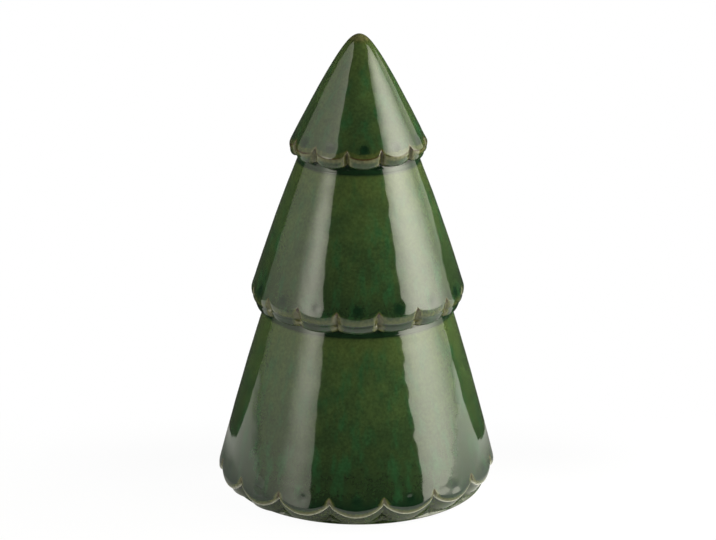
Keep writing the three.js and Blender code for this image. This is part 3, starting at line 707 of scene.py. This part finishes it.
def green_reactive_glaze():
    """Copper-green reactive glaze, dipped and fired glossy on stoneware.

    It is deep green where it lies thick, olive where it has run thin below the joints and at the
    tip, dark teal where it gathers and where shade is painted under the petals and below the
    joints, and it breaks to an olive beige and burnt brown along edges. Along the foot tier's lip
    it is painted pale grey, as glaze thinned to pale and as a painted highlight line.
    """
    material, tree = new_material("green_reactive_glaze")
    place = add(tree, "ShaderNodeTexCoord").outputs["Object"]
    wear_and_painted_light = add(tree, "ShaderNodeAttribute", attribute_name="glaze_wear_and_shade")
    thin, pool_and_shade, burnt = add(tree, "ShaderNodeSeparateXYZ", [wear_and_painted_light.outputs["Vector"]]).outputs
    below = add(tree, "ShaderNodeAttribute", attribute_name="below_shoulder").outputs["Fac"]
    dish = add(tree, "ShaderNodeAttribute", attribute_name="dish").outputs["Fac"]
    bare = add(tree, "ShaderNodeAttribute", attribute_name="bare_clay_and_highlight").outputs["Fac"]

    # Clouds of 9 mm, runs drawn out downwards, and flecks of 1.2 mm
    clouds = add(tree, NOISE, {"Vector": place, "Scale": 110.0, "Detail": 4.0, "Roughness": 0.6})
    drawn = add(tree, "ShaderNodeMapping", {"Vector": place, "Scale": (1.0, 1.0, 0.25)})
    runs = add(tree, NOISE, {"Vector": drawn, "Scale": 220.0, "Detail": 3.0, "Roughness": 0.55})
    flecks = add(tree, NOISE, {"Vector": place, "Scale": 800.0, "Detail": 2.0, "Roughness": 0.6})

    cloud_part = add(tree, RAMP, {0: clouds, 1: 0.36, 2: 0.66}, **SMOOTH)
    body = add(tree, MIX, {0: cloud_part, 6: linear("#293A1F"), 7: linear("#334423")}, **COLOUR)
    deep = add(tree, RAMP, {0: below, 1: 25.0 * MM, 2: 70.0 * MM, 4: 0.85})
    shown = add(tree, MIX, {0: deep, 6: body.outputs[2], 7: linear("#112011")}, **COLOUR)

    # Thin and olive under a shoulder or the tip, fading out over 20 mm with a ragged end
    ragged = add(tree, MATH, [runs, 24.0 * MM, below], operation="MULTIPLY_ADD")

    # Along the edges it wears to olive and then to olive beige, in faint lines 0.4 mm apart
    laid = add(tree, "ShaderNodeMapping", {"Vector": place, "Scale": (0.15, 0.15, 2.0)})
    lines = add(tree, NOISE, {"Vector": laid, "Scale": 1200.0, "Detail": 2.0})
    worn = add(tree, MIX, {0: lines, 6: linear("#3A4020"), 7: linear("#585638")}, **COLOUR)
    fleck_part = add(tree, RAMP, {0: flecks, 1: 0.3, 2: 0.7, 3: -0.14, 4: 0.14})
    thin_broken = add(tree, MATH, [thin, fleck_part], operation="ADD")
    broken = add(tree, RAMP, {0: clouds, 1: 0.4, 2: 0.6, 3: 0.45})
    burnt_there = add(tree, MATH, [burnt, broken], operation="MULTIPLY")

    # One colour over the other: what brings it in, from and to which value, at most, and the colour
    for cause, first, last, most, colour in (
        (runs, 0.46, 0.74, 0.68, linear("#1D4427")),
        (dish, 0.0, 1.0, 0.95, linear("#0A2211")),
        (ragged, 32.0 * MM, 10.0 * MM, 0.8, linear("#3A4723")),
        (thin_broken, 0.12, 0.55, 1.0, linear("#363F1E")),
        (thin_broken, 0.5, 1.0, 1.0, worn.outputs[2]),
        (burnt_there, 0.1, 0.8, 0.95, linear("#2E1C0A")),
        # Dark teal where glaze pools, and painted shade under the petals and below each joint
        (pool_and_shade, 0.05, 0.8, 0.92, linear("#081E0F")),
        # Pale grey where no glaze lies, and along the foot tier's lip a painted highlight line over
        # glaze thinned to pale
        (bare, 0.05, 0.45, 1.0, linear("#B2B4A5")),
    ):
        part = add(tree, RAMP, {0: cause, 1: first, 2: last, 4: most}, **SMOOTH)
        shown = add(tree, MIX, {0: part, 6: shown.outputs[2], 7: colour}, **COLOUR)

    # Fine mottling all over, from the flecks
    mottle = add(tree, RAMP, {0: flecks, 1: 0.3, 2: 0.7, 3: 0.78, 4: 1.22})
    mottled = add(tree, VECTOR, {0: shown.outputs[2], "Scale": mottle}, operation="SCALE")

    # A faint orange peel of 2.5 mm in the glossy skin
    peel = add(tree, NOISE, {"Vector": place, "Scale": 400.0, "Detail": 1.0})
    skin = add(tree, "ShaderNodeBump", {"Strength": 0.05, "Distance": 0.05 * MM, "Height": peel})
    gloss = add(tree, RAMP, {0: clouds, 1: 0.3, 2: 0.7, 3: 0.05, 4: 0.09})
    surface = add(tree, "ShaderNodeBsdfPrincipled",
                  {"Base Color": mottled, "Roughness": gloss, "IOR": 1.52, "Normal": skin})
    add(tree, "ShaderNodeOutputMaterial", [surface])
    return material


def bisque_stoneware(name, base, dark):
    """Bare fired clay, matt and slightly gritty: grog of 1 mm over clouds of 12 mm."""
    material, tree = new_material(name)
    place = add(tree, "ShaderNodeTexCoord").outputs["Object"]
    clouds = add(tree, NOISE, {"Vector": place, "Scale": 80.0, "Detail": 3.0})
    grog = add(tree, NOISE, {"Vector": place, "Scale": 1000.0, "Detail": 3.0})
    both = add(tree, MATH, [clouds, grog], operation="MULTIPLY")
    part = add(tree, RAMP, {0: both, 1: 0.15, 2: 0.4, 3: 1.0, 4: 0.0})
    tone = add(tree, MIX, {0: part, 6: linear(base), 7: linear(dark)}, **COLOUR)
    grit = add(tree, "ShaderNodeBump", {"Strength": 0.5, "Distance": 0.1 * MM, "Height": grog})
    surface = add(tree, "ShaderNodeBsdfPrincipled",
                  {"Base Color": tone.outputs[2], "Roughness": 0.88, "IOR": 1.5, "Normal": grit})
    add(tree, "ShaderNodeOutputMaterial", [surface])
    return material


def slip_under_glaze_and_shade():
    """Fired slip under the glaze that collected over it in the groove: glossy and dark teal, a colour
    that also paints the shade in the groove under the tier above.
    """
    material, tree = new_material("slip_under_glaze_and_shade")
    place = add(tree, "ShaderNodeTexCoord").outputs["Object"]
    grain = add(tree, NOISE, {"Vector": place, "Scale": 500.0, "Detail": 2.0})
    tone = add(tree, MIX, {0: grain, 6: linear("#081E0F"), 7: linear("#16301A")}, **COLOUR)
    uneven = add(tree, "ShaderNodeBump", {"Strength": 0.05, "Distance": 0.05 * MM, "Height": grain})
    surface = add(tree, "ShaderNodeBsdfPrincipled",
                  {"Base Color": tone.outputs[2], "Roughness": 0.08, "IOR": 1.52, "Normal": uneven})
    add(tree, "ShaderNodeOutputMaterial", [surface])
    return material


def pressed_wool_felt():
    """Grey wool felt, pressed from fibres that show as 0.4 mm flecks, with a soft sheen."""
    material, tree = new_material("pressed_wool_felt")
    place = add(tree, "ShaderNodeTexCoord").outputs["Object"]
    fibres = add(tree, NOISE,
                 {"Vector": place, "Scale": 2500.0, "Detail": 3.0, "Distortion": 1.5})
    tone = add(tree, MIX, {0: fibres, 6: linear("#2E2D2C"), 7: linear("#56534F")}, **COLOUR)
    nap = add(tree, "ShaderNodeBump", {"Strength": 0.8, "Distance": 0.15 * MM, "Height": fibres})
    surface = add(tree, "ShaderNodeBsdfPrincipled",
                  {"Base Color": tone.outputs[2], "Roughness": 0.95, "Sheen Weight": 0.4,
                   "Sheen Roughness": 0.5, "Normal": nap})
    add(tree, "ShaderNodeOutputMaterial", [surface])
    return material


# Studio, in metres: two softboxes, a curtain by the right one, and two lamps nearer the tree
SHEET_DISTANCE = 0.9
DIMMEST_CLOTH = 0.3
LAMP_DISTANCE = 0.7
LAMP_HEIGHT = 0.5
LAMP_AIM = 0.09
LAMP_SIZE = (0.4, 0.3)

# The edge that the right softbox and the curtain share, and their outlines, sideways and up
SEAM = [(0.56, 0.1), (0.52, 0.25), (0.45, 0.47), (0.36, 0.62)]
RIGHT_OUTLINE = [
    (-0.54, 0.0), (0.62, 0.0), *SEAM, (0.27, 0.88), (0.05, 1.18), (-0.72, 1.18), (-0.71, 0.45),
    (-0.66, 0.3), (-0.59, 0.17), (-0.54, 0.11),
]
CURTAIN_OUTLINE = [SEAM[0], (0.95, 0.1), (0.95, 0.65), (0.345, 0.65), *reversed(SEAM[1:])]
LEFT_OUTLINE = [
    (-0.72, 0.0), (0.88, 0.0), (0.88, 0.16), (0.85, 0.3), (0.8, 0.5), (0.74, 0.7), (0.71, 1.1),
    (0.71, 1.5), (-0.12, 1.5), (-0.34, 0.9), (-0.6, 0.6), (-0.73, 0.42), (-0.65, 0.2),
]


def studio_piece(name, points, faces, material):
    mesh = bpy.data.meshes.new(name)
    mesh.from_pydata(points, [], faces)
    mesh.materials.append(material)
    piece = placed(name, mesh)
    return piece


def softbox(name, azimuth, outline, hot_spot, reach, edge, slope, peak):
    """A diffuser 0.9 m from the tree, which it faces at an azimuth in degrees.

    The azimuth is 0 in front of the tree and grows towards the right. The outline and the hot
    spot are in metres sideways and up. The cloth glows with edge at the hot spot's place, slope
    more or less per metre sideways and up, and towards peak round the spot, within reach
    sideways, upwards and downwards.
    """
    material, tree = new_material(name + "_cloth")
    turn = math.radians(azimuth)
    outward = (math.sin(turn), -math.cos(turn))
    sideways = (math.cos(turn), math.sin(turn))
    corners = [(outward[0] * SHEET_DISTANCE + sideways[0] * side,
                outward[1] * SHEET_DISTANCE + sideways[1] * side, up) for side, up in outline]
    place = add(tree, "ShaderNodeTexCoord").outputs["Object"]
    across = add(tree, VECTOR, [place, (*sideways, 0.0)], operation="DOT_PRODUCT")
    aside = add(tree, MATH, [across.outputs["Value"], hot_spot[0]], operation="SUBTRACT")
    _, _, height = add(tree, "ShaderNodeSeparateXYZ", [place]).outputs
    over = add(tree, MATH, [height, hot_spot[1]], operation="SUBTRACT")
    part_side = add(tree, MATH, [aside, reach[0]], operation="DIVIDE")
    part_up = add(tree, MATH, [over, reach[1]], operation="DIVIDE")
    part_down = add(tree, MATH, [over, -reach[2]], operation="DIVIDE")
    part_over = add(tree, MATH, [part_up, part_down], operation="MAXIMUM")
    offset = add(tree, JOIN, [part_side, part_over, 0.0])
    away = add(tree, VECTOR, [offset], operation="LENGTH").outputs["Value"]
    spot = add(tree, RAMP, {0: away, 1: 0.0, 2: 1.0, 3: peak - edge, 4: 0.0}, **SMOOTH)
    sloped = add(tree, MATH, [aside, slope[0], edge], operation="MULTIPLY_ADD")
    plain = add(tree, MATH, [over, slope[1], sloped], operation="MULTIPLY_ADD")
    dimmest = add(tree, MATH, [plain, DIMMEST_CLOTH], operation="MAXIMUM")
    power = add(tree, MATH, [spot, dimmest], operation="ADD")
    light = add(tree, "ShaderNodeEmission", {"Color": linear("#FFFDEC"), "Strength": power})
    add(tree, "ShaderNodeOutputMaterial", [light])
    sheet = studio_piece(name, corners, [tuple(range(len(corners)))], material)
    sheet.visible_camera = False


def side_fill(name, azimuth, power):
    """A soft lamp that lights a flank of the tree and is hidden from its glaze.

    It stands nearer than the softboxes, because their cloths would block its light, and its
    azimuth is counted as theirs are.
    """
    data = bpy.data.lights.new(name, "AREA")
    data.shape, data.energy = "RECTANGLE", power
    data.size, data.size_y = LAMP_SIZE
    lamp = placed(name, data)
    turn = math.radians(azimuth)
    place = Vector((math.sin(turn) * LAMP_DISTANCE, -math.cos(turn) * LAMP_DISTANCE, LAMP_HEIGHT))
    aim = (Vector((0.0, 0.0, LAMP_AIM)) - place).to_track_quat("-Z", "Y")
    lamp.matrix_world = Matrix.Translation(place) @ aim.to_matrix().to_4x4()
    lamp.visible_camera = lamp.visible_glossy = lamp.visible_transmission = False


def seen_white(tree, mirrored):
    """1 for what the camera sees straight or through glass, mirrored in gloss, and 0 otherwise."""
    path = add(tree, "ShaderNodeLightPath").outputs
    through = add(tree, MATH, [path["Is Camera Ray"], path["Is Transmission Ray"]],
                  operation="MAXIMUM")
    glossy = add(tree, MATH, [path["Is Glossy Ray"], mirrored], operation="MULTIPLY")
    return add(tree, MATH, [through, glossy], operation="MAXIMUM")


def pale_floor():
    """Matt white paper, cut away behind the tree between its two softboxes.

    It is nearly pure white where it is seen, keeps the tree's shadow, and turns fully white
    towards its edges. The glaze mirrors it mostly as the lamps light it, and its tone is painted
    darker as shade: a painted shadow close behind the tree, and painted shade at the foot of the
    left softbox and far in front.
    """
    front, side, back, corner, fade = -1.3, 1.2, 0.072, 0.15, 0.05
    splay = 0.55
    far = back + splay * (side - corner)
    seen_tone, mirrored_share = 0.96, 0.08
    material, tree = new_material("white_paper")
    place = add(tree, "ShaderNodeTexCoord").outputs["Object"]
    across, along, _ = add(tree, "ShaderNodeSeparateXYZ", [place]).outputs

    # How far the point lies from the nearest edge
    aside = add(tree, MATH, [across], operation="ABSOLUTE")
    from_side = add(tree, MATH, [side, aside], operation="SUBTRACT")
    edge = add(tree, MATH, [aside, splay, back - splay * corner], operation="MULTIPLY_ADD")
    back_there = add(tree, MATH, [edge, back], operation="MAXIMUM")
    from_back = add(tree, MATH, [back_there, along], operation="SUBTRACT")
    from_front = add(tree, MATH, [along, front], operation="SUBTRACT")
    nearer = add(tree, MATH, [from_side, from_back], operation="MINIMUM")
    nearest = add(tree, MATH, [nearer, from_front], operation="MINIMUM")
    whiteness = add(tree, RAMP, {0: nearest, 1: 0.0, 2: fade, 3: 1.0, 4: seen_tone})

    # Its tone: a painted shadow close behind the tree, and painted shade at the foot of the left
    # softbox and far in front
    from_tree = add(tree, VECTOR, [place], operation="LENGTH").outputs["Value"]
    by_tree = add(tree, RAMP, {0: from_tree, 1: 0.09, 2: 0.15, 3: 0.75, 4: 0.0})
    behind = add(tree, RAMP, {0: along, 1: -0.01, 2: 0.03})
    shaded = add(tree, MATH, [by_tree, behind], operation="MULTIPLY")
    unshaded = add(tree, MATH, [1.0, shaded], operation="SUBTRACT")
    by_lamp = add(tree, RAMP, {0: across, 1: -0.7, 2: -0.4, 3: 0.5, 4: 1.0})
    painted_shade_part = add(tree, MATH, [unshaded, by_lamp], operation="MULTIPLY")
    in_front = add(tree, RAMP, {0: along, 1: -0.3, 2: -0.05, 3: 0.68, 4: 1.0})
    tone = add(tree, MATH, [painted_shade_part, in_front], operation="MULTIPLY")
    shade = add(tree, MIX, {0: tone, 6: linear("#000000"), 7: linear("#F4F4F2")}, **COLOUR)
    paper = add(tree, "ShaderNodeBsdfDiffuse", {"Color": shade.outputs[2]})
    white = add(tree, "ShaderNodeEmission", {"Color": linear("#FFFFFF"), "Strength": 1.0})
    mirrored = add(tree, MATH, [tone, mirrored_share], operation="MULTIPLY")
    seen = add(tree, MATH, [seen_white(tree, mirrored), whiteness], operation="MULTIPLY")
    both = add(tree, "ShaderNodeMixShader", [seen, paper, white])
    add(tree, "ShaderNodeOutputMaterial", [both])
    corners = [(-side, front, 0), (side, front, 0), (side, far, 0),
               (corner, back, 0), (-corner, back, 0), (-side, far, 0)]
    studio_piece("floor", corners, [tuple(range(len(corners)))], material)


def dark_cloths():
    """Black cloths hung all round the table, which the glaze mirrors as its dark front and rims."""
    material, tree = new_material("black_cloth")
    cloth = add(tree, "ShaderNodeEmission", {"Color": linear("#FFFFF3"), "Strength": 0.05})
    add(tree, "ShaderNodeOutputMaterial", [cloth])
    radius, low, high, sides = 2.5, -1.5, 3.0, 32
    turns = [2 * math.pi * i / sides for i in range(sides)]
    points = [(radius * math.cos(turn), radius * math.sin(turn), z)
              for z in (low, high) for turn in turns]
    faces = [(i, (i + 1) % sides, sides + (i + 1) % sides, sides + i) for i in range(sides)]
    faces += [tuple(range(sides)), tuple(range(sides, 2 * sides))]
    cloths = studio_piece("dark_cloths", points, faces, material)
    cloths.visible_camera = cloths.visible_diffuse = cloths.visible_transmission = False
    cloths.visible_shadow = cloths.visible_volume_scatter = False


def studio_world():
    """Plain soft light from all round, and plain white wherever it is seen."""
    world = bpy.data.worlds.new("studio")
    world.use_nodes = True
    tree = world.node_tree
    tree.nodes.clear()
    walls = add(tree, "ShaderNodeBackground", {"Color": linear("#FFFFFF"), "Strength": 0.04})
    white = add(tree, "ShaderNodeBackground", {"Color": linear("#FFFFFF"), "Strength": 1.0})
    both = add(tree, "ShaderNodeMixShader", [seen_white(tree, 1.0), walls, white])
    add(tree, "ShaderNodeOutputWorld", [both])
    bpy.context.scene.world = world


bpy.context.scene.view_settings.view_transform = "Standard"
make_camera()
glaze = green_reactive_glaze()
clay = bisque_stoneware("bisque_stoneware", "#B9A88C", "#8C7A5E")
tree = petal_tree(glaze, clay)
for name, tier, below, columns in (("bottom_tier", BOTTOM, None, 36),
                                   ("middle_tier", MIDDLE, BOTTOM, 36),
                                   ("top_tier", TOP, MIDDLE, 44)):
    piece = make_tier(name + "_glazed", tier, below, tree, columns)
    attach(piece, "root")
    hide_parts(name)

joint = slip_under_glaze_and_shade()
for name, below in (("lower_slip_joint", BOTTOM), ("upper_slip_joint", MIDDLE)):
    piece = slip_joint(name + "_bead", below, joint)
    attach(piece, "root")
    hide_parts(name)

felt = pressed_wool_felt()
for i, place in enumerate(PAD_NAMES):
    piece = felt_pad(f"felt_pad_{place}_pressed", math.radians(90 * i - 45), felt)
    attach(piece, "root")
    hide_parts(f"felt_pad_{place}")

pale_floor()
dark_cloths()
studio_world()
side_fill("left_fill", -95, 2.4)
side_fill("right_fill", 105, 6.0)
softbox("right_softbox", 86, RIGHT_OUTLINE, (-0.2, 0.45), (0.78, 1.0, 0.9), 1.5, (0.0, 0.0), 9.6)
softbox("right_curtain", 86, CURTAIN_OUTLINE, (0.7, 0.4), (0.5, 0.5, 0.5), 1.4, (0.0, 0.0), 1.4)
softbox("left_softbox", -82.5, LEFT_OUTLINE, (0.5, 0.4), (0.42, 0.4, 0.5), 1.7, (0.9, 0.8), 5.2)
